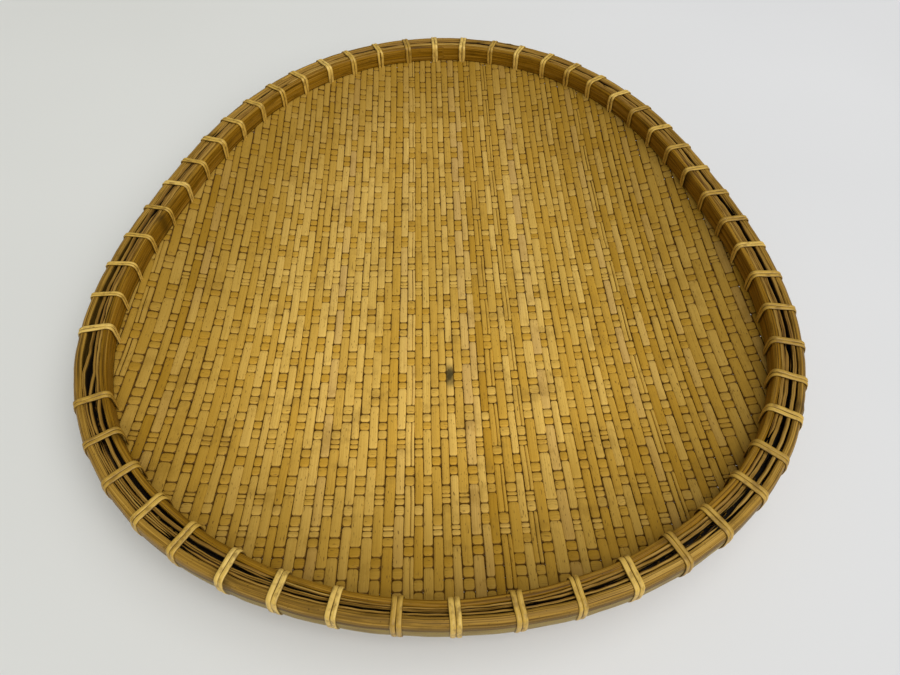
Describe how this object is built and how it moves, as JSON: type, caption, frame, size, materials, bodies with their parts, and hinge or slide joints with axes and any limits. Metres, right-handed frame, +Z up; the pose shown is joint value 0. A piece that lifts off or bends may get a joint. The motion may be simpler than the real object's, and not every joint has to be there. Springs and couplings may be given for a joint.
{
  "type": "winnowing basket",
  "caption": "Shallow rounded-triangle winnowing tray: a dished woven bamboo mat held in a double bamboo hoop rim by split-cane lashings.",
  "frame": {"origin": "centre of the plan on the plane the basket rests on, at the mat's flat underside", "axes": "+Z up, +Y towards the narrow back end, -Y towards the broad front edge, +X to the right seen from the front"},
  "size_m": [0.4398, 0.5282, 0.0387],
  "materials": {
    "mat": "woven split bamboo, honey yellow, satin, worn",
    "outer_hoop": "split bamboo, orange brown with a greenish tan skin, satin",
    "inner_hoop": "bamboo strip, brown ochre, worn to a soft gloss",
    "splint": "raw split bamboo, tan brown, fibrous",
    "lashing": "split cane, straw yellow, satin"
  },
  "bodies": {
    "root": {"woven_mat": "mat", "outer_hoop": "outer_hoop", "inner_hoop": "inner_hoop", "filler_splint_1": "splint", "filler_splint_2": "splint", "filler_splint_3": "splint", "lashing_01": "lashing", "lashing_02": "lashing", "lashing_03": "lashing", "lashing_04": "lashing", "lashing_05": "lashing", "lashing_06": "lashing", "lashing_07": "lashing", "lashing_08": "lashing", "lashing_09": "lashing", "lashing_10": "lashing", "lashing_11": "lashing", "lashing_12": "lashing", "lashing_13": "lashing", "lashing_14": "lashing", "lashing_15": "lashing", "lashing_16": "lashing", "lashing_17": "lashing", "lashing_18": "lashing", "lashing_19": "lashing", "lashing_20": "lashing", "lashing_21": "lashing", "lashing_22": "lashing", "lashing_23": "lashing", "lashing_24": "lashing", "lashing_25": "lashing", "lashing_26": "lashing", "lashing_27": "lashing", "lashing_28": "lashing", "lashing_29": "lashing", "lashing_30": "lashing", "lashing_31": "lashing", "lashing_32": "lashing", "lashing_33": "lashing", "lashing_34": "lashing", "lashing_35": "lashing", "lashing_36": "lashing", "lashing_37": "lashing", "lashing_38": "lashing", "lashing_39": "lashing", "lashing_40": "lashing", "lashing_41": "lashing", "lashing_42": "lashing", "lashing_43": "lashing", "lashing_44": "lashing", "lashing_45": "lashing", "lashing_46": "lashing", "lashing_47": "lashing", "lashing_48": "lashing", "lashing_49": "lashing", "lashing_50": "lashing", "lashing_51": "lashing", "lashing_52": "lashing", "lashing_53": "lashing"}
  },
  "joints": []
}
